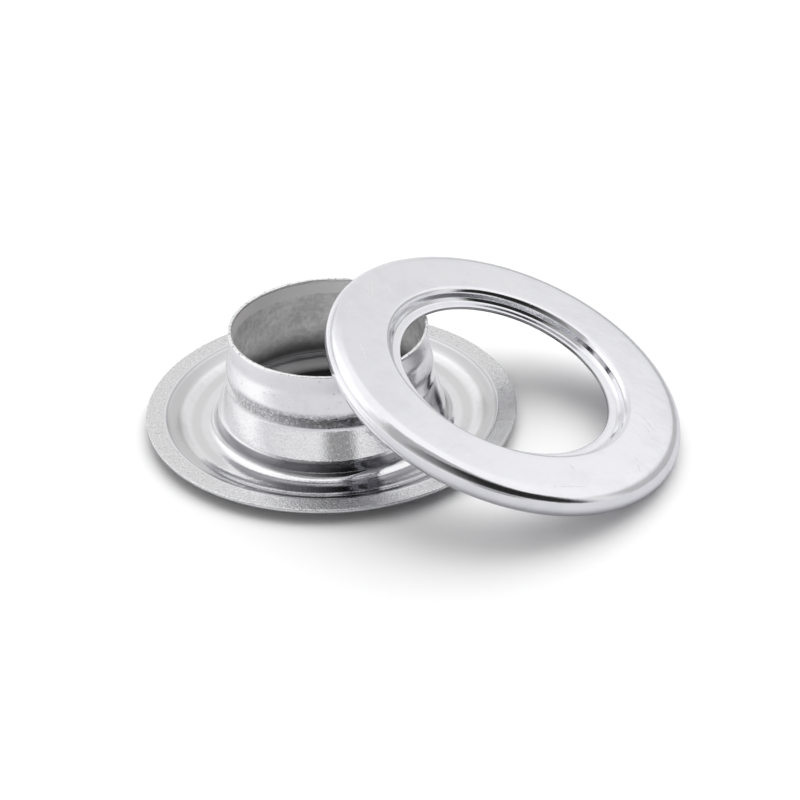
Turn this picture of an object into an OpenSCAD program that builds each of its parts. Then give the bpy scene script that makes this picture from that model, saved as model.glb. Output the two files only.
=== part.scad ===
// Grommet set in two pressed sheet-metal halves: a flanged eyelet that stands on
// its show face, and the ring washer that leans on the rim of its barrel.
// Millimetres. +Z is up, +X is the way the washer leans down to the ground.
// The origin is on the ground, under the middle of the whole set.

/* [Sheet] */
// Thickness of the sheet that both halves are pressed from
sheet = 0.32; // [0.25:0.01:0.45]

/* [Eyelet barrel] */
// Inside diameter of the barrel at its rim
bore_d = 17; // [15:0.1:19]
// Height of the barrel's rim above the ground
barrel_h = 9.5; // [8.8:0.1:11]
// Straight length of the barrel below the rim
rim_straight = 1.85; // [1:0.05:2.2]
// How much the barrel's radius grows from the straight length down to the waist
barrel_draft = 0.42; // [0.2:0.02:0.6]
// Height of the waist, where the barrel is upright again
waist_z = 5.9; // [5.4:0.1:6.2]
// Bend radius above and below the barrel's draft
draft_bend = 3; // [2:0.5:5]
// Height at which the barrel opens into its skirt
skirt_z = 4.5; // [4.2:0.1:4.8]
// Bend radius where the skirt begins
skirt_bend = 1.5; // [0.8:0.1:2.5]

/* [Eyelet foot] */
// How far the shoulder at the skirt's lower edge stands out from the barrel
skirt_out = 0.89; // [0.6:0.01:1.2]
// Height of the shoulder
shoulder_z = 1.88; // [1.6:0.02:2.2]
// Width of the steep step from the shoulder down to the flange
step_out = 0.37; // [0.2:0.01:0.6]
// Bend radius of the shoulder
shoulder_bend = 0.25; // [0.2:0.01:0.4]
// Bend radius at the foot of the step
foot_bend = 1.0; // [0.5:0.05:1.2]

/* [Eyelet flange] */
// Outside diameter of the flange
flange_d = 33.3; // [31:0.1:37]
// Height of the flange's outer edge, at its upper side
flange_edge_z = 1.36; // [1.1:0.02:1.6]
// Width of the matt flat band along the flange's edge
band_w = 1.7; // [1.2:0.1:2]
// Fall across the flat band, from the edge inwards
band_fall = 0.06; // [0.02:0.02:0.14]
// Height of the small step on the band's inner side
band_step = 0.14; // [0.06:0.02:0.2]
// Width of the small step on the band's inner side
band_step_w = 0.32; // [0.2:0.02:0.5]
// Width of the ring on which the flange rests, outwards from the step
rest_w = 1.86; // [1:0.02:2.2]
// Bend radius between the ring that rests and the slope up to the band
rise_bend = 5; // [3:0.5:9]
// Bend radius on both sides of the small step
band_bend = 0.4; // [0.3:0.02:0.6]

/* [Washer] */
// Outside diameter of the washer over its rolled edge
washer_d = 32.5; // [31:0.1:34]
// Diameter of the washer's hole
hole_d = 19.1; // [18.7:0.1:19.8]
// Outer radius of the rolled edge
roll_r = 1.28; // [1:0.02:1.5]
// How far round the edge is rolled
roll_deg = 205; // [175:5:250]
// Width of the slope between the face and the steep wall of the dip
dip_top_w = 0.22; // [0.14:0.01:0.4]
// Height of the slope between the face and the steep wall
dip_top_h = 0.28; // [0.2:0.01:0.36]
// Width of the steep wall
dip_wall_w = 0.12; // [0.05:0.01:0.2]
// Width and height of the slope from the steep wall down to the lip
dip_foot = 0.34; // [0.24:0.01:0.42]
// Bend radius above and below the steep wall
dip_bend = 0.3; // [0.24:0.01:0.36]
// Depth of the lip at the hole, below the face
lip_depth = 1.09; // [0.95:0.01:1.3]
// Width of the lip round the hole, to the foot of the dip
lip_w = 0.85; // [0.7:0.01:1.1]
// Bend radius between the lip and the dip
lip_bend = 0.4; // [0.3:0.02:0.5]

/* [Resting place] */
// Angle round the washer's hole, from its top, at which the rim holds it
touch_deg = 24.6; // [18:0.2:40]
// Clearance between the washer and the rim
seat_gap = 0.03; // [0.02:0.01:0.08]

/* [Hidden] */

// Facets round a full turn, and the turn between two points of a bend
turn_fn = 180;
arc_step = 7.5;
// Share of a straight run that the bends at its ends may use up
bend_share = 0.96;

// Radii, from the middle of the sheet where they belong to its mid-line
half = sheet / 2;
rim_mid_r = bore_d / 2 + half;
rim_out_r = bore_d / 2 + sheet;
waist_r = rim_mid_r + barrel_draft;
shoulder_r = waist_r + skirt_out;
foot_r = shoulder_r + step_out;
flange_r = flange_d / 2;
band_in_r = flange_r - band_w;
step_in_r = band_in_r - band_step_w;
rest_out_r = foot_r + rest_w;

// Heights of the flange's mid-line
edge_z = flange_edge_z - half;
band_in_z = edge_z - band_fall;
step_in_z = band_in_z - band_step;

// Mid-line of the eyelet's section, from the rim to the flange's edge: [r, z, bend]
eyelet_line = [
    [rim_mid_r, barrel_h, 0],
    [rim_mid_r, barrel_h - rim_straight, draft_bend],
    [waist_r, waist_z, draft_bend],
    [waist_r, skirt_z, skirt_bend],
    [shoulder_r, shoulder_z, shoulder_bend],
    [foot_r, half, foot_bend],
    [rest_out_r, half, rise_bend],
    [step_in_r, step_in_z, band_bend],
    [band_in_r, band_in_z, band_bend],
    [flange_r, edge_z, 0]
];

// The washer is drawn level, with its face at height 0, and then laid in place
washer_r = washer_d / 2;
hole_r = hole_d / 2;
roll_mid_r = washer_r - roll_r;
lip_mid_z = -lip_depth - half;
lip_r = hole_r + lip_w;
wall_in_r = lip_r + dip_foot;
wall_out_r = wall_in_r + dip_wall_w;
washer_line = [
    [hole_r, lip_mid_z, 0],
    [lip_r, lip_mid_z, lip_bend],
    [wall_in_r, lip_mid_z + dip_foot, dip_bend],
    [wall_out_r, -half - dip_top_h, dip_bend],
    [wall_out_r + dip_top_w, -half, dip_bend],
    [roll_mid_r, -half, 0]
];

// Resting place. The roll touches the ground and the hole's lower edge touches the
// outer edge of the rim at touch_deg to either side, which settles the tilt:
// seat_a * cos(tilt) + seat_b * sin(tilt) = seat_c
lip_low_z = -lip_depth - sheet;
seat_a = roll_r + lip_low_z;
seat_b = roll_mid_r + hole_r * cos(touch_deg);
seat_c = barrel_h - roll_r;
tilt = asin(seat_c / norm([seat_a, seat_b])) - atan2(seat_a, seat_b);
washer_z = roll_r * (1 + cos(tilt)) + roll_mid_r * sin(tilt);
touch_y = hole_r * sin(touch_deg);
touch_x = sqrt(rim_out_r * rim_out_r - touch_y * touch_y);
washer_x = touch_x + hole_r * cos(touch_deg) * cos(tilt) - lip_low_z * sin(tilt) + seat_gap;

// Middle of the set along X, where the origin is
roll_reach = roll_mid_r * cos(tilt) + roll_r;
roll_x = washer_x - roll_r * sin(tilt);
low_x = min(-flange_r, roll_x - roll_reach);
high_x = max(flange_r, roll_x + roll_reach);
mid_x = (low_x + high_x) / 2;

// Plane geometry of a bent strip
function spot(c) = [c[0], c[1]];
function way(a, b) = (spot(b) - spot(a)) / norm(spot(b) - spot(a));
function left_of(d) = [-d[1], d[0]];
function turned(v, a) = [v[0] * cos(a) - v[1] * sin(a), v[0] * sin(a) + v[1] * cos(a)];
function bend_angle(u, w) = atan2(u[0] * w[1] - u[1] * w[0], u * w);
function backwards(list) = [for (i = [len(list) - 1:-1:0]) list[i]];
function arc(c, r, from, to) =
    let (n = ceil(abs(to - from) / arc_step))
    [for (k = [0:n]) c + r * [cos(from + (to - from) * k / n), sin(from + (to - from) * k / n)]];

// Points beside one corner of a mid-line, off to its left by the given distance
function beside(line, i, off) =
    i == 0 ? [spot(line[0]) + off * left_of(way(line[0], line[1]))] :
    i == len(line) - 1 ? [spot(line[i]) + off * left_of(way(line[i - 1], line[i]))] :
    let (
        u = way(line[i - 1], line[i]),
        w = way(line[i], line[i + 1]),
        a = bend_angle(u, w),
        side = sign(a),
        room = min(norm(spot(line[i]) - spot(line[i - 1])), norm(spot(line[i + 1]) - spot(line[i]))) / 2,
        r = min(line[i][2], bend_share * room / tan(abs(a) / 2)),
        c = spot(line[i]) - u * r * tan(abs(a) / 2) + left_of(u) * side * r,
        n = ceil(abs(a) / arc_step)
    )
    [for (k = [0:n]) c + turned(-left_of(u) * side * (r - side * off), a * k / n)];

function beside_all(line, off) = [for (i = [0:len(line) - 1]) each beside(line, i, off)];

// Pressed sheet of the eyelet, from its mid-line
module eyelet_section() {
    polygon(concat(beside_all(eyelet_line, half), backwards(beside_all(eyelet_line, -half))));
}

// Pressed sheet of the washer: the lip, the dip, the face and the rolled edge
module washer_section() {
    centre = [roll_mid_r, -roll_r];
    polygon(concat(
        beside_all(washer_line, half),
        arc(centre, roll_r, 90, 90 - roll_deg),
        arc(centre, roll_r - sheet, 90 - roll_deg, 90),
        backwards(beside_all(washer_line, -half))
    ));
}

module eyelet() {
    color("gainsboro")
    translate([-mid_x, 0, 0])
    rotate_extrude($fn = turn_fn)
    eyelet_section();
}

module washer() {
    color("silver")
    translate([washer_x - mid_x, 0, washer_z])
    rotate([0, tilt, 0])
    rotate_extrude($fn = turn_fn)
    washer_section();
}

eyelet();
washer();
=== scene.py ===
"""A grommet set in pressed sheet metal: a flanged eyelet and its leaning washer."""
import math

import bmesh
import bpy
from mathutils import Matrix, Vector


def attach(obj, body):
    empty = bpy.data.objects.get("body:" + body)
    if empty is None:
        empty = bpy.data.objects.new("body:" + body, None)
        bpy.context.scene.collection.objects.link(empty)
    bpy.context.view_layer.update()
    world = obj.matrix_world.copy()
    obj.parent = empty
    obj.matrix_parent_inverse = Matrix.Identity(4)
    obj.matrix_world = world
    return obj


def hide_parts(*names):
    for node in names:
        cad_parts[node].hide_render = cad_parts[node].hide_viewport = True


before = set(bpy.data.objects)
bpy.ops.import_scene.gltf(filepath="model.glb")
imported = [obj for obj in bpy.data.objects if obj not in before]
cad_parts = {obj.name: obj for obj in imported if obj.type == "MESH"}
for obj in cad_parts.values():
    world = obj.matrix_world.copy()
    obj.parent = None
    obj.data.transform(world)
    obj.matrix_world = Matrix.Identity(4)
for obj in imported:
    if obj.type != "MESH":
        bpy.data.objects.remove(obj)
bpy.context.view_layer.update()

MM = 0.001

# Section of both halves, in millimetres, as the solids have it
SHEET = 0.32
HALF = SHEET / 2
BORE_R = 8.5
BARREL_H = 9.5
EYELET_LINE = [
    (BORE_R + HALF, BARREL_H, 0.0),
    (BORE_R + HALF, 7.65, 3.0),
    (9.08, 5.9, 3.0),
    (9.08, 4.5, 1.5),
    (9.97, 1.88, 0.25),
    (10.34, HALF, 1.0),
    (12.2, HALF, 5.0),
    (14.63, 1.0, 0.4),
    (14.95, 1.14, 0.4),
    (16.65, 1.2, 0.0),
]
FLANGE_R = 16.65
BAND_R = 15.0
HOLE_R = 9.55
ROLL_R = 1.28
ROLL_MID_R = 14.97
ROLL_SWEEP = math.radians(205)
LIP_MID_Z = -1.25
WASHER_LINE = [
    (HOLE_R, LIP_MID_Z, 0.0),
    (10.4, LIP_MID_Z, 0.4),
    (10.74, LIP_MID_Z + 0.34, 0.3),
    (10.86, -HALF - 0.28, 0.3),
    (11.08, -HALF, 0.3),
    (ROLL_MID_R, -HALF, 0.0),
]

# The eyelet stands upright left of the origin, and the washer leans towards +X
EYELET_X = -7.3563
WASHER_X = 9.1695
WASHER_Z = 7.7571
WASHER_TILT = math.radians(20.650)

# Fineness of the turned meshes
ARC_STEP = math.radians(4.0)
TURN = 400
EDGE_ROUND = 0.1
EDGE_POINTS = 5
# Waviness of the cut edges: cycles in a full turn and phase
RIPPLES = ((3, 0.4), (7, 2.1), (19, 5.0), (41, 1.3), (67, 3.7), (97, 0.9))
RIM_WEAR = 0.025
FLANGE_WEAR = 0.03
# Soft rings in the flange's upper side
RING_START = 10.9
RING_END = 14.5
RING_CREST = 11.9
RING_PITCH = 2.4
RING_DEPTH = 0.045
# The side on which the grain of the barrel and skirt is darkest as painted shade, and where the painted reflection on
# the waist and the painted shade in the crease are strongest
GRAIN_AND_SHADE_SIDE = math.radians(-82)

# Camera, in the row frame
CAMERA_AZIMUTH = math.radians(18.19)
CAMERA_PITCH = math.radians(31.998)
CAMERA_ROLL = math.radians(-1.534)
CAMERA_FROM_EYELET = (6.153, -152.532, 96.891)
LENS_MM = 90.0
SENSOR_MM = 36.0


# Plane geometry of a bent strip

def minus(a, b):
    return (a[0] - b[0], a[1] - b[1])


def unit(a):
    n = math.hypot(*a)
    return (a[0] / n, a[1] / n)


def left_of(d):
    return (-d[1], d[0])


def shifted(p, d, k):
    return (p[0] + d[0] * k, p[1] + d[1] * k)


def turned(v, a):
    return (v[0] * math.cos(a) - v[1] * math.sin(a), v[0] * math.sin(a) + v[1] * math.cos(a))


def beside(line, i, off):
    """Points beside corner i of a mid-line, off to its left by the given distance."""
    here = line[i][:2]
    if i == 0:
        return [shifted(here, left_of(unit(minus(line[1][:2], here))), off)]
    if i == len(line) - 1:
        return [shifted(here, left_of(unit(minus(here, line[i - 1][:2]))), off)]
    u = unit(minus(here, line[i - 1][:2]))
    w = unit(minus(line[i + 1][:2], here))
    a = math.atan2(u[0] * w[1] - u[1] * w[0], u[0] * w[0] + u[1] * w[1])
    side = math.copysign(1.0, a)
    before = math.hypot(*minus(here, line[i - 1][:2]))
    after = math.hypot(*minus(line[i + 1][:2], here))
    r = min(line[i][2], 0.96 * min(before, after) / 2 / math.tan(abs(a) / 2))
    c = shifted(shifted(here, u, -r * math.tan(abs(a) / 2)), left_of(u), side * r)
    n = max(2, math.ceil(abs(a) / ARC_STEP))
    spoke = (-left_of(u)[0] * side * (r - side * off), -left_of(u)[1] * side * (r - side * off))
    return [shifted(c, turned(spoke, a * k / n), 1.0) for k in range(n + 1)]


def strip_sides(line):
    """The two long sides of the strip, from the first corner to the last."""
    upper = [p for i in range(len(line)) for p in beside(line, i, HALF)]
    lower = [p for i in range(len(line)) for p in beside(line, i, -HALF)]
    return upper, lower


def rounded_end(a, b):
    """Points of a cut edge from a to b, with both its corners rounded a little."""
    across = unit(minus(b, a))
    out = left_of(across)
    points = []
    for corner, begin in ((a, math.pi), (b, math.pi / 2)):
        inward = 1.0 if corner is a else -1.0
        c = shifted(shifted(corner, across, inward * EDGE_ROUND), out, -EDGE_ROUND)
        for k in range(EDGE_POINTS + 1):
            t = begin - math.pi / 2 * k / EDGE_POINTS
            step = shifted(c, across, EDGE_ROUND * math.cos(t))
            points.append(shifted(step, out, EDGE_ROUND * math.sin(t)))
    return points


def split_long(points, longest):
    """The same outline with its long straight runs cut into shorter ones."""
    out = []
    for p, q in zip(points, points[1:] + points[:1]):
        n = max(1, math.ceil(math.hypot(*minus(q, p)) / longest))
        out += [shifted(p, minus(q, p), k / n) for k in range(n)]
    return out


def eyelet_outline():
    upper, lower = strip_sides(EYELET_LINE)
    flange_edge = rounded_end(upper[-1], lower[-1])
    rim_edge = rounded_end(lower[0], upper[0])
    return split_long(rim_edge + upper[1:-1] + flange_edge + lower[-2:0:-1], 0.3)


def washer_outline():
    upper, lower = strip_sides(WASHER_LINE)
    n = math.ceil(ROLL_SWEEP / ARC_STEP)
    angles = [math.pi / 2 - ROLL_SWEEP * k / n for k in range(n + 1)]
    outer = [(ROLL_MID_R + ROLL_R * math.cos(t), ROLL_R * (math.sin(t) - 1)) for t in angles]
    inner_r = ROLL_R - SHEET
    inner = [(ROLL_MID_R + inner_r * math.cos(t), inner_r * math.sin(t) - ROLL_R) for t in angles]
    roll_edge = rounded_end(outer[-1], inner[-1])
    hole_edge = rounded_end(lower[0], upper[0])
    sides = hole_edge + upper[1:-1] + outer[:-1] + roll_edge + inner[-2::-1] + lower[-2:0:-1]
    return split_long(sides, 0.5)


def ripple(t):
    """Uneven wave between 0 and 1 round a full turn."""
    return 0.5 + sum(math.sin(n * t + phase) for n, phase in RIPPLES) / (2 * len(RIPPLES))


def worn(r, z, t, back):
    """A point of the eyelet with its cut edges a little uneven and the press's soft rings in its flange."""
    at_rim = max(0.0, min(1.0, (z - BARREL_H + 0.2) / 0.2))
    at_edge = max(0.0, min(1.0, (r - FLANGE_R + 0.3) / 0.3))
    ring = 0.0
    if not back and z < 1.3 and RING_START < r < RING_END:
        fade = min(1.0, (r - RING_START) / 0.5, (RING_END - r) / 0.5)
        ring = RING_DEPTH * fade * math.sin(2 * math.pi * (r - RING_CREST) / RING_PITCH + math.pi / 2)
    return r - FLANGE_WEAR * at_edge * ripple(2 * t), z - RIM_WEAR * at_rim * ripple(t) + ring


def unworn(r, z, t, back):
    return r, z


def turned_mesh(name, outline, place, wear):
    """A closed outline in r and z, revolved, worn and put in place.

    Each point keeps (cos, sin, length along the outline) and (r, z, 1 on the back) in millimetres.
    """
    mesh = bpy.data.meshes.new(name)
    run = [0.0]
    for p, q in zip(outline, outline[1:]):
        run.append(run[-1] + math.hypot(*minus(q, p)))
    outermost = max(range(len(outline)), key=lambda i: outline[i][0])
    verts = []
    polar = []
    section = []
    for j in range(TURN):
        t = 2 * math.pi * j / TURN
        for i, (r, z) in enumerate(outline):
            wr, wz = wear(r, z, t, i > outermost)
            verts.append(place @ Vector((wr * math.cos(t) * MM, wr * math.sin(t) * MM, wz * MM)))
            polar += (math.cos(t), math.sin(t), run[i])
            section += (r, z, 1.0 if i > outermost else 0.0)
    n = len(outline)
    faces = []
    for j in range(TURN):
        a = j * n
        b = (j + 1) % TURN * n
        for i in range(n):
            k = (i + 1) % n
            faces.append((a + i, a + k, b + k, b + i))
    mesh.from_pydata([tuple(v) for v in verts], [], faces)
    mesh.validate()
    for key, values in (("polar", polar), ("section", section)):
        attribute = mesh.attributes.new(key, "FLOAT_VECTOR", "POINT")
        attribute.data.foreach_set("vector", values)
    bm = bmesh.new()
    bm.from_mesh(mesh)
    bmesh.ops.recalc_face_normals(bm, faces=bm.faces)
    bm.to_mesh(mesh)
    bm.free()
    mesh.shade_smooth()
    obj = bpy.data.objects.new(name, mesh)
    bpy.context.scene.collection.objects.link(obj)
    return obj


# Materials

def new_material(name):
    material = bpy.data.materials.new(name)
    material.use_nodes = True
    material.node_tree.nodes.clear()
    return material, material.node_tree


def maths(tree, operation, a, b=None):
    n = tree.nodes.new("ShaderNodeMath")
    n.operation = operation
    for i, value in enumerate((a, b)):
        if value is None:
            continue
        if isinstance(value, (int, float)):
            n.inputs[i].default_value = value
        else:
            tree.links.new(value, n.inputs[i])
    return n.outputs[0]


def total(tree, *terms):
    out = terms[0]
    for term in terms[1:]:
        out = maths(tree, "ADD", out, term)
    return out


def product(tree, *factors):
    out = factors[0]
    for factor in factors[1:]:
        out = maths(tree, "MULTIPLY", out, factor)
    return out


def ramp(tree, value, low, high, to_low=0.0, to_high=1.0):
    n = tree.nodes.new("ShaderNodeMapRange")
    n.interpolation_type = "SMOOTHSTEP"
    n.inputs["From Min"].default_value = low
    n.inputs["From Max"].default_value = high
    n.inputs["To Min"].default_value = to_low
    n.inputs["To Max"].default_value = to_high
    tree.links.new(value, n.inputs["Value"])
    return n.outputs["Result"]


def hump(tree, value, low, high, soft):
    """1 between low and high, falling to 0 over the soft width outside them."""
    return product(tree, ramp(tree, value, low - soft, low), ramp(tree, value, high, high + soft, 1.0, 0.0))


def blend_value(tree, share, a, b):
    """a where share is 0 and b where it is 1."""
    n = tree.nodes.new("ShaderNodeMix")
    n.data_type = "FLOAT"
    for socket, value in ((n.inputs[0], share), (n.inputs[2], a), (n.inputs[3], b)):
        if isinstance(value, (int, float)):
            socket.default_value = value
        else:
            tree.links.new(value, socket)
    return n.outputs[0]


def blend_colour(tree, share, a, b):
    n = tree.nodes.new("ShaderNodeMix")
    n.data_type = "RGBA"
    tree.links.new(share, n.inputs[0])
    for socket, value in ((n.inputs[6], a), (n.inputs[7], b)):
        if isinstance(value, tuple):
            socket.default_value = (*value, 1.0)
        else:
            tree.links.new(value, socket)
    return n.outputs[2]


def split(tree, vector):
    n = tree.nodes.new("ShaderNodeSeparateXYZ")
    tree.links.new(vector, n.inputs[0])
    return n.outputs[0], n.outputs[1], n.outputs[2]


def combine(tree, x, y, z):
    n = tree.nodes.new("ShaderNodeCombineXYZ")
    for socket, value in zip(n.inputs, (x, y, z)):
        if isinstance(value, (int, float)):
            socket.default_value = value
        else:
            tree.links.new(value, socket)
    return n.outputs[0]


def stored(tree, name):
    n = tree.nodes.new("ShaderNodeAttribute")
    n.attribute_name = name
    return n.outputs["Vector"]


def noise(tree, vector, scale, detail=2.0, roughness=0.5):
    """Soft noise round 0.5, with the given number of cycles in a unit of the vector."""
    n = tree.nodes.new("ShaderNodeTexNoise")
    n.inputs["Scale"].default_value = scale
    n.inputs["Detail"].default_value = detail
    n.inputs["Roughness"].default_value = roughness
    tree.links.new(vector, n.inputs["Vector"])
    return n.outputs["Fac"]


def wobble(tree, amount, value):
    """Noise turned into a height of the given size in millimetres, above and below zero."""
    return maths(tree, "MULTIPLY", maths(tree, "SUBTRACT", value, 0.5), amount)


class Metal:
    """A metal with its coordinates in millimetres: where, polar round the piece and its section."""

    def __init__(self, name):
        self.material, self.tree = new_material(name)
        tree = self.tree
        out = tree.nodes.new("ShaderNodeOutputMaterial")
        self.shader = tree.nodes.new("ShaderNodeBsdfPrincipled")
        self.shader.inputs["Metallic"].default_value = 1.0
        tree.links.new(self.shader.outputs[0], out.inputs[0])
        scale = tree.nodes.new("ShaderNodeVectorMath")
        scale.operation = "SCALE"
        scale.inputs["Scale"].default_value = 1 / MM
        tree.links.new(tree.nodes.new("ShaderNodeTexCoord").outputs["Object"], scale.inputs[0])
        self.where = scale.outputs[0]
        self.cosine, self.sine, self.run = split(tree, stored(tree, "polar"))
        self.radius, self.height, self.back = split(tree, stored(tree, "section"))

    def round_lines(self, across, along):
        """Coordinates for marks that run round the piece: cycles per millimetre across and in a turn."""
        t = self.tree
        return combine(t, product(t, self.cosine, along), product(t, self.sine, along), product(t, self.run, across))

    def finish(self, colour, roughness, height, metallic=None):
        t = self.tree
        t.links.new(colour, self.shader.inputs["Base Color"])
        t.links.new(roughness, self.shader.inputs["Roughness"])
        if metallic is not None:
            t.links.new(metallic, self.shader.inputs["Metallic"])
        bump = t.nodes.new("ShaderNodeBump")
        bump.inputs["Strength"].default_value = 1.0
        bump.inputs["Distance"].default_value = MM
        t.links.new(height, bump.inputs["Height"])
        t.links.new(bump.outputs[0], self.shader.inputs["Normal"])
        return self.material


def scratch(metal, x0, y0, x1, y1, width):
    """1 on a scratch between two places on the level face of a piece, 0 away from it."""
    t = metal.tree
    here = combine(t, product(t, metal.cosine, metal.radius), product(t, metal.sine, metal.radius), 0.0)
    away = t.nodes.new("ShaderNodeVectorMath")
    away.operation = "SUBTRACT"
    away.inputs[1].default_value = (x0, y0, 0)
    t.links.new(here, away.inputs[0])
    dot = t.nodes.new("ShaderNodeVectorMath")
    dot.operation = "DOT_PRODUCT"
    length = (x1 - x0) ** 2 + (y1 - y0) ** 2
    dot.inputs[1].default_value = ((x1 - x0) / length, (y1 - y0) / length, 0)
    t.links.new(away.outputs[0], dot.inputs[0])
    share = maths(t, "MINIMUM", maths(t, "MAXIMUM", dot.outputs["Value"], 0.0), 1.0)
    foot = combine(t, product(t, share, x1 - x0), product(t, share, y1 - y0), 0.0)
    gap = t.nodes.new("ShaderNodeVectorMath")
    gap.operation = "DISTANCE"
    t.links.new(away.outputs[0], gap.inputs[0])
    t.links.new(foot, gap.inputs[1])
    return ramp(t, gap.outputs["Value"], width * 0.4, width, 1.0, 0.0)


def drawn_metal():
    m = Metal("drawn_aluminium")
    t = m.tree
    show = maths(t, "SUBTRACT", 1.0, m.back)
    band = product(t, show, ramp(t, m.radius, BAND_R - 0.1, BAND_R + 0.15))
    bore = product(t, m.back, ramp(t, m.height, 0.4, 1.6))
    cut = ramp(t, m.height, BARREL_H - 0.14, BARREL_H - 0.04)
    skirt = product(t, show, hump(t, m.height, 0.5, 6.2, 1.0))
    cloud = noise(t, m.where, 0.35, 3.0)
    fine = noise(t, m.where, 7.0, 1.0, 0.6)
    pebble = noise(t, m.where, 1.7, 2.0)
    lines = noise(t, m.round_lines(3.2, 2.0), 1.0, 3.0, 0.65)
    broad = noise(t, m.round_lines(0.7, 0.8), 1.0, 2.0)
    height = total(
        t,
        wobble(t, 0.007, fine),
        wobble(t, 0.009, pebble),
        wobble(t, 0.006, noise(t, m.where, 3.1, 2.0, 0.6)),
        wobble(t, 0.0012, lines),
        wobble(t, 0.008, broad),
        product(t, band, wobble(t, 0.045, noise(t, m.where, 5.0, 3.0, 0.7))),
        product(t, bore, wobble(t, 0.03, noise(t, m.where, 2.2, 3.0, 0.6))),
        product(t, cut, wobble(t, 0.03, noise(t, m.where, 7.0, 2.0))),
    )
    stain = product(t, ramp(t, cloud, 0.35, 0.7), ramp(t, noise(t, m.where, 1.3, 4.0, 0.7), 0.4, 0.7))
    colour = blend_colour(t, stain, (0.90, 0.90, 0.915), (0.84, 0.83, 0.85))
    speck = ramp(t, noise(t, m.where, 5.0, 4.0, 0.75), 0.56, 0.66)
    colour = blend_colour(t, band, colour, (0.78, 0.78, 0.79))
    colour = blend_colour(t, cut, colour, (0.98, 0.98, 0.98))
    colour = blend_colour(t, product(t, band, speck), colour, (0.5, 0.5, 0.52))
    glint = ramp(t, noise(t, m.where, 6.5, 3.0, 0.7), 0.56, 0.64)
    colour = blend_colour(t, product(t, band, glint), colour, (1.0, 1.0, 1.0))
    chip = ramp(t, noise(t, m.where, 2.3, 4.0, 0.7), 0.54, 0.62)
    colour = blend_colour(t, product(t, cut, chip), colour, (0.55, 0.55, 0.57))
    pit = product(t, show, hump(t, m.height, 6.4, 9.2, 0.3), ramp(t, noise(t, m.where, 3.0, 2.0), 0.70, 0.75))
    colour = blend_colour(t, pit, colour, (0.4, 0.4, 0.42))
    # Painted shade: darker rings round the flange and a darker line at its small step
    ring = product(t, show, hump(t, m.radius, 13.8, 14.5, 0.4))
    colour = blend_colour(t, ring, colour, (0.66, 0.66, 0.67))
    inner_ring_shade = product(t, show, hump(t, m.radius, 12.0, 12.4, 0.5))
    colour = blend_colour(t, inner_ring_shade, colour, (0.79, 0.79, 0.80))
    # Painted shade line along the flange's small step
    step_line_shade = product(t, show, hump(t, m.radius, 14.76, 14.84, 0.12))
    colour = blend_colour(t, step_line_shade, colour, (0.6, 0.6, 0.62))
    # Grain of the stretched sheet on the skirt, made darker on one side by painted shade, and a painted dark
    # reflection round the waist above it
    side = total(t, product(t, m.cosine, math.cos(GRAIN_AND_SHADE_SIDE)), product(t, m.sine, math.sin(GRAIN_AND_SHADE_SIDE)))
    grain_and_shade_facing = ramp(t, side, 0.45, 0.85)
    wall = product(t, show, hump(t, m.height, 2.0, 6.0, 0.3), blend_value(t, grain_and_shade_facing, 0.25, 1.0))
    # The grain is the sheet's own; its extra darkness on that side is painted shade
    grain = product(t, wall, ramp(t, noise(t, m.where, 6.0, 3.0, 0.7), 0.46, 0.62), 0.42)
    colour = blend_colour(t, grain, colour, (0.62, 0.62, 0.63))
    # Painted dark reflection round the waist, strongest on the same side
    waist_painted_reflection = product(t, show, hump(t, m.height, 4.9, 5.75, 0.4), ramp(t, noise(t, m.where, 4.0, 3.0, 0.7), 0.34, 0.56),
                    blend_value(t, grain_and_shade_facing, 0.25, 1.0))
    colour = blend_colour(t, waist_painted_reflection, colour, (0.48, 0.48, 0.49))
    # Painted shade in the step at the foot of the skirt, darkest on the same side
    crease_painted_shade = product(t, show, hump(t, m.height, 0.55, 1.55, 0.25), ramp(t, m.radius, 10.3, 10.7, 1.0, 0.0),
                     ramp(t, side, 0.1, 0.8, 0.35, 1.0))
    colour = blend_colour(t, crease_painted_shade, colour, (0.27, 0.27, 0.29))
    # Inside the bore: mottled oxide, with painted light in a band just below the rim
    mottle_and_painted_light = total(t, wobble(t, 1.3, noise(t, m.where, 0.45, 4.0, 0.65)), wobble(t, 1.0, noise(t, m.where, 1.8, 4.0, 0.7)),
                   product(t, hump(t, m.height, 8.3, 9.1, 0.35), 0.8), 0.5)
    bore_oxide_light_and_shade = blend_colour(t, ramp(t, mottle_and_painted_light, 0.0, 1.0), (0.60, 0.59, 0.59), (0.98, 0.97, 0.97))
    # Painted shade, darkening the bore towards the bottom
    painted_deep_shade = product(t, m.back, ramp(t, m.height, 1.0, 4.4, 1.0, 0.0))
    bore_oxide_light_and_shade = blend_colour(t, painted_deep_shade, bore_oxide_light_and_shade, (0.05, 0.05, 0.05))
    colour = blend_colour(t, bore, colour, bore_oxide_light_and_shade)
    roughness = total(t, blend_value(t, band, 0.085, 0.17), product(t, bore, 0.3), wobble(t, 0.06, cloud),
                      wobble(t, 0.04, fine))
    # The bore is dull with oxide and drawing grease
    return m.finish(colour, roughness, height, blend_value(t, bore, 1.0, 0.4))


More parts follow.
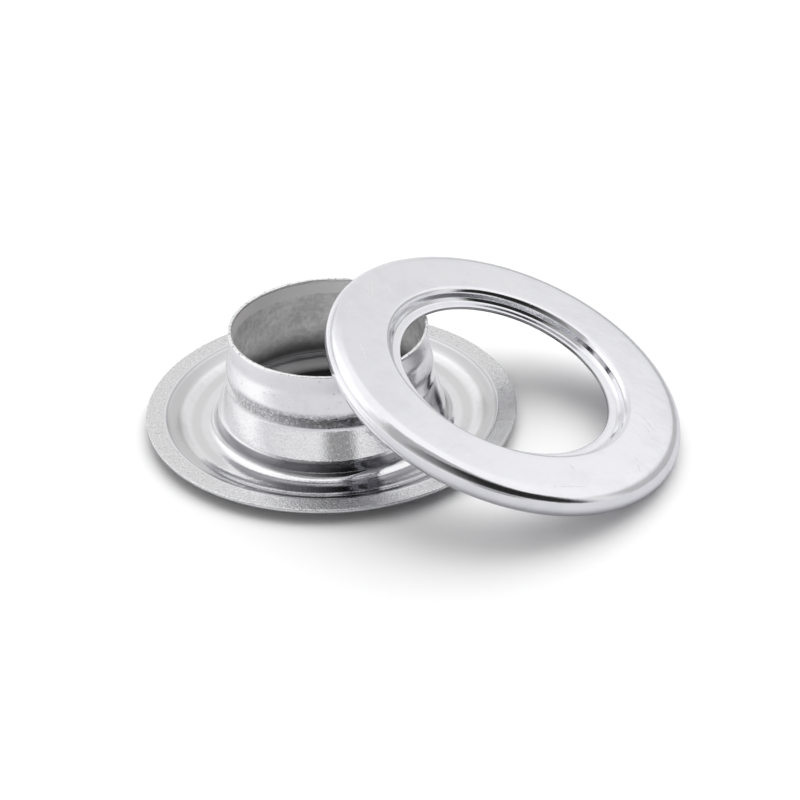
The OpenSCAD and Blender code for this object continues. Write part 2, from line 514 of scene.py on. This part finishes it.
def polished_metal():
    m = Metal("polished_aluminium")
    t = m.tree
    smudge = noise(t, m.where, 0.28, 4.0, 0.65)
    fine = noise(t, m.where, 4.5, 3.0, 0.6)
    lines = noise(t, m.round_lines(3.5, 1.6), 1.0, 3.0, 0.65)
    roll = ramp(t, m.radius, ROLL_MID_R - 0.3, ROLL_MID_R + 0.4)
    height = total(
        t,
        wobble(t, 0.004, fine),
        wobble(t, 0.006, noise(t, m.where, 1.2, 2.0)),
        product(t, roll, wobble(t, 0.006, lines)),
    )
    marks = [scratch(m, *place) for place in SCRATCHES]
    worn_line = marks[0]
    for mark in marks[1:]:
        worn_line = maths(t, "MAXIMUM", worn_line, mark)
    worn_line = product(t, worn_line, ramp(t, noise(t, m.where, 2.5, 2.0), 0.38, 0.52))
    # Small nicks crowd together in a few places
    crowd = ramp(t, noise(t, m.where, 0.22, 1.0), 0.56, 0.66)
    nick = product(t, crowd, ramp(t, noise(t, m.where, 4.2, 2.0, 0.6), 0.64, 0.69), 0.8)
    worn_line = maths(t, "MAXIMUM", worn_line, nick)
    height = total(t, height, product(t, worn_line, -0.006))
    colour = blend_colour(t, ramp(t, smudge, 0.4, 0.7), (0.90, 0.90, 0.93), (0.855, 0.855, 0.89))
    colour = blend_colour(t, worn_line, colour, (0.98, 0.98, 0.98))
    sheared = ramp(t, m.radius, HOLE_R + 0.02, HOLE_R + 0.09, 1.0, 0.0)
    colour = blend_colour(t, sheared, colour, (0.45, 0.45, 0.47))
    roughness = total(t, ramp(t, m.radius, ROLL_MID_R - 0.3, ROLL_MID_R + 0.6, 0.08, 0.13), wobble(t, 0.08, smudge), wobble(t, 0.04, fine), product(t, worn_line, 0.25))
    return m.finish(colour, roughness, height)


def dress(obj, material, node):
    obj.data.materials.append(material)
    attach(obj, "root")
    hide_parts(node)


# Scratches on the washer's face: from, to and width in millimetres, from the washer's axis
SCRATCHES = [
    (12.17, 1.97, 13.53, 0.94, 0.08),
    (12.6, 0.9, 13.2, 0.3, 0.06),
    (8.05, -8.91, 8.54, -9.43, 0.08),
    (7.56, -12.61, 9.80, -10.84, 0.09),
    (-14.58, 2.0, -13.11, 0.55, 0.08),
    (-14.2, 2.6, -13.6, 1.3, 0.06),
    (-12.08, -6.52, -11.06, -7.84, 0.08),
    (-13.3, 3.9, -12.2, 2.2, 0.06),
    (3.1, 12.3, 4.6, 11.7, 0.05),
    (-2.2, -13.9, -0.6, -13.4, 0.05),
    (12.9, -4.1, 13.6, -5.6, 0.05),
]

eyelet_place = Matrix.Translation((EYELET_X * MM, 0, 0))
washer_place = Matrix.Translation((WASHER_X * MM, 0, WASHER_Z * MM)) @ Matrix.Rotation(WASHER_TILT, 4, "Y")

eyelet = turned_mesh("eyelet_sheet", eyelet_outline(), eyelet_place, worn)
washer = turned_mesh("washer_sheet", washer_outline(), washer_place, unworn)
dress(eyelet, drawn_metal(), "eyelet")
dress(washer, polished_metal(), "washer")


# Studio: a white floor, a bright back and top, and the dark room behind the camera

FRONT_AZIMUTH = -math.pi / 2 + CAMERA_AZIMUTH
WALL_LIGHT = 0.8
LEFT_BACK_LIGHT = 0.95
LEFT_WALL_LIGHT = 0.7
LEFT_LOW_LIGHT = 1.1
RIGHT_LIGHT = 0.52
BACK_RIGHT_LIGHT = 0.98
FRONT_LOW_LIGHT = 0.84
HIGH_LIGHT = 1.02
TOP_FRONT_LIGHT = 0.46
SOFTBOX_LIGHT = 1.15
ROOM_LEFT_LIGHT = 0.3
ROOM_RIGHT_LIGHT = 0.02
STAND_LIGHT = 0.3
# Light on the floor alone, which the metal only shows as the floor's own shadows
FLOOR_FILL = 0.66
FLOOR_KEY = 2.2
KEY_AZIMUTH = 170.0
KEY_HEIGHT = 61.0
FLOOR_COLOUR = (0.97, 0.97, 0.97)
FLOOR_IN_GLOSS = (0.66, 0.66, 0.68)
BORE_SHADE = 0.04


def around_camera(tree, direction):
    """Degrees right of the camera and degrees above the horizon."""
    turn = tree.nodes.new("ShaderNodeVectorRotate")
    turn.rotation_type = "Z_AXIS"
    turn.inputs["Angle"].default_value = -FRONT_AZIMUTH
    tree.links.new(direction, turn.inputs["Vector"])
    front, right, up = split(tree, turn.outputs[0])
    return maths(tree, "DEGREES", maths(tree, "ARCTAN2", right, front)), maths(tree, "DEGREES", maths(tree, "ARCSINE", up))


def studio_light(tree, azimuth, height):
    """What gloss sees of the studio."""
    t = tree
    right_wall = product(t, hump(t, azimuth, 95.0, 158.0, 16.0), ramp(t, height, 20.0, 28.0, 1.0, 0.0))
    light = blend_value(t, right_wall, WALL_LIGHT, RIGHT_LIGHT)
    back_right = product(t, hump(t, azimuth, 60.0, 142.0, 14.0), ramp(t, height, 27.0, 31.0))
    light = blend_value(t, back_right, light, BACK_RIGHT_LIGHT)
    left_back = ramp(t, azimuth, -172.0, -150.0, 0.0, 1.0)
    left_back = product(t, left_back, ramp(t, azimuth, -95.0, -80.0, 1.0, 0.0))
    light = blend_value(t, left_back, light, LEFT_BACK_LIGHT)
    left_wall = product(t, hump(t, azimuth, -158.0, -118.0, 8.0), hump(t, height, 17.0, 25.0, 4.0))
    light = blend_value(t, left_wall, light, LEFT_WALL_LIGHT)
    left_low = product(t, hump(t, azimuth, -108.0, -48.0, 12.0), ramp(t, height, 9.0, 15.0, 1.0, 0.0))
    light = blend_value(t, left_low, light, LEFT_LOW_LIGHT)
    light = blend_value(t, ramp(t, height, 38.0, 60.0), light, HIGH_LIGHT)
    softbox = product(t, hump(t, azimuth, -140.0, -82.0, 10.0), hump(t, height, 30.0, 60.0, 6.0))
    light = blend_value(t, softbox, light, SOFTBOX_LIGHT)
    over_front = product(t, hump(t, azimuth, -55.0, 42.0, 14.0), ramp(t, height, 84.0, 74.0, 0.0, 1.0))
    light = blend_value(t, over_front, light, TOP_FRONT_LIGHT)
    front_low = product(t, hump(t, azimuth, -70.0, 40.0, 14.0), ramp(t, height, 8.0, 14.0, 1.0, 0.0))
    light = blend_value(t, front_low, light, FRONT_LOW_LIGHT)
    low = maths(t, "SUBTRACT", height, maths(t, "ADD", maths(t, "MULTIPLY", azimuth, -0.22), 15.0))
    past = maths(t, "MAXIMUM", maths(t, "SUBTRACT", azimuth, 25.0), 0.0)
    before = maths(t, "MAXIMUM", maths(t, "SUBTRACT", -22.0, azimuth), 0.0)
    top = total(t, product(t, past, -0.6), product(t, before, -1.0), 59.5)
    high = maths(t, "SUBTRACT", height, top)
    room = product(t, ramp(t, low, -4.0, 5.0), ramp(t, high, -5.0, 4.0, 1.0, 0.0), hump(t, azimuth, -36.0, 58.0, 14.0))
    inside = ramp(t, azimuth, -40.0, 15.0, ROOM_LEFT_LIGHT, ROOM_RIGHT_LIGHT)
    light = blend_value(t, room, light, inside)
    stand = product(t, ramp(t, azimuth, -14.0, 2.0), ramp(t, azimuth, 17.0, 28.0, 1.0, 0.0),
                    ramp(t, height, 6.0, 14.0, 1.0, 0.0))
    return blend_value(t, stand, light, STAND_LIGHT), room


def floor_light(tree, direction, room):
    """The light that falls on the floor: an even fill and one broad lamp behind and above."""
    t = tree
    azimuth = FRONT_AZIMUTH + math.radians(KEY_AZIMUTH)
    height = math.radians(KEY_HEIGHT)
    aim = t.nodes.new("ShaderNodeVectorMath")
    aim.operation = "DOT_PRODUCT"
    aim.inputs[1].default_value = (math.cos(azimuth) * math.cos(height), math.sin(azimuth) * math.cos(height),
                                   math.sin(height))
    t.links.new(direction, aim.inputs[0])
    key = ramp(t, aim.outputs["Value"], math.cos(math.radians(45)), math.cos(math.radians(18)))
    fill = blend_value(t, room, FLOOR_FILL, FLOOR_FILL * 0.25)
    return total(t, fill, product(t, key, FLOOR_KEY))


def build_world():
    world = bpy.data.worlds.new("studio")
    bpy.context.scene.world = world
    world.use_nodes = True
    tree = world.node_tree
    tree.nodes.clear()
    out = tree.nodes.new("ShaderNodeOutputWorld")
    direction = tree.nodes.new("ShaderNodeTexCoord").outputs["Generated"]
    path = tree.nodes.new("ShaderNodeLightPath")
    gloss, room = studio_light(tree, *around_camera(tree, direction))
    light = blend_value(tree, path.outputs["Is Diffuse Ray"], gloss, floor_light(tree, direction, room))
    light = blend_value(tree, path.outputs["Is Camera Ray"], light, 1.0)
    background = tree.nodes.new("ShaderNodeBackground")
    background.inputs["Color"].default_value = (1, 1, 1, 1)
    tree.links.new(light, background.inputs["Strength"])
    tree.links.new(background.outputs[0], out.inputs[0])


def build_floor():
    mesh = bpy.data.meshes.new("floor")
    bm = bmesh.new()
    bmesh.ops.create_circle(bm, cap_ends=True, segments=96, radius=1.2)
    bm.to_mesh(mesh)
    bm.free()
    floor = bpy.data.objects.new("floor", mesh)
    bpy.context.scene.collection.objects.link(floor)
    material, tree = new_material("floor_white")
    out = tree.nodes.new("ShaderNodeOutputMaterial")
    diffuse = tree.nodes.new("ShaderNodeBsdfDiffuse")
    path = tree.nodes.new("ShaderNodeLightPath")
    place = tree.nodes.new("ShaderNodeTexCoord").outputs["Object"]
    leftward = tree.nodes.new("ShaderNodeVectorMath")
    leftward.operation = "DOT_PRODUCT"
    leftward.inputs[1].default_value = (-math.cos(CAMERA_AZIMUTH), -math.sin(CAMERA_AZIMUTH), 0.0)
    tree.links.new(place, leftward.inputs[0])
    frontward = tree.nodes.new("ShaderNodeVectorMath")
    frontward.operation = "DOT_PRODUCT"
    frontward.inputs[1].default_value = (math.cos(FRONT_AZIMUTH), math.sin(FRONT_AZIMUTH), 0.0)
    tree.links.new(place, frontward.inputs[0])
    lit = product(tree, ramp(tree, leftward.outputs["Value"], 22.0 * MM, 42.0 * MM),
                  ramp(tree, frontward.outputs["Value"], 8.0 * MM, 30.0 * MM, 1.0, 0.0))
    across, along, _ = split(tree, place)
    across = maths(tree, "SUBTRACT", across, EYELET_X * MM)
    reach = maths(tree, "SQRT", total(tree, product(tree, across, across), product(tree, along, along)))
    inside = ramp(tree, reach, 8.0 * MM, 9.6 * MM, 1.0, 0.0)
    in_gloss = blend_colour(tree, maths(tree, "MAXIMUM", lit, inside), FLOOR_IN_GLOSS, FLOOR_COLOUR)
    colour = blend_colour(tree, path.outputs["Is Camera Ray"], in_gloss, FLOOR_COLOUR)
    # The floor that shows inside the barrel lies in deep shade
    shade = blend_value(tree, inside, 1.0, BORE_SHADE)
    shade = blend_value(tree, path.outputs["Is Camera Ray"], 1.0, shade)
    colour = blend_colour(tree, shade, (0.0, 0.0, 0.0), colour)
    tree.links.new(colour, diffuse.inputs["Color"])
    tree.links.new(diffuse.outputs[0], out.inputs[0])
    mesh.materials.append(material)


def build_camera():
    data = bpy.data.cameras.new("camera")
    data.lens = LENS_MM
    data.sensor_width = SENSOR_MM
    data.clip_start = 0.01
    camera = bpy.data.objects.new("camera", data)
    bpy.context.scene.collection.objects.link(camera)
    p = CAMERA_PITCH
    forward = Vector((0, math.cos(p), -math.sin(p)))
    right = Vector((1, 0, 0))
    up = Vector((0, math.sin(p), math.cos(p)))
    c, s = math.cos(CAMERA_ROLL), math.sin(CAMERA_ROLL)
    right, up = right * c + up * s, up * c - right * s
    basis = Matrix((right, up, -forward)).transposed().to_4x4()
    turn = Matrix.Rotation(CAMERA_AZIMUTH, 4, "Z")
    spot = turn @ Vector(CAMERA_FROM_EYELET) + Vector((EYELET_X, 0, 0))
    camera.matrix_world = Matrix.Translation(spot * MM) @ turn @ basis
    bpy.context.scene.camera = camera


build_world()
build_floor()
build_camera()
bpy.context.scene.view_settings.view_transform = "Standard"
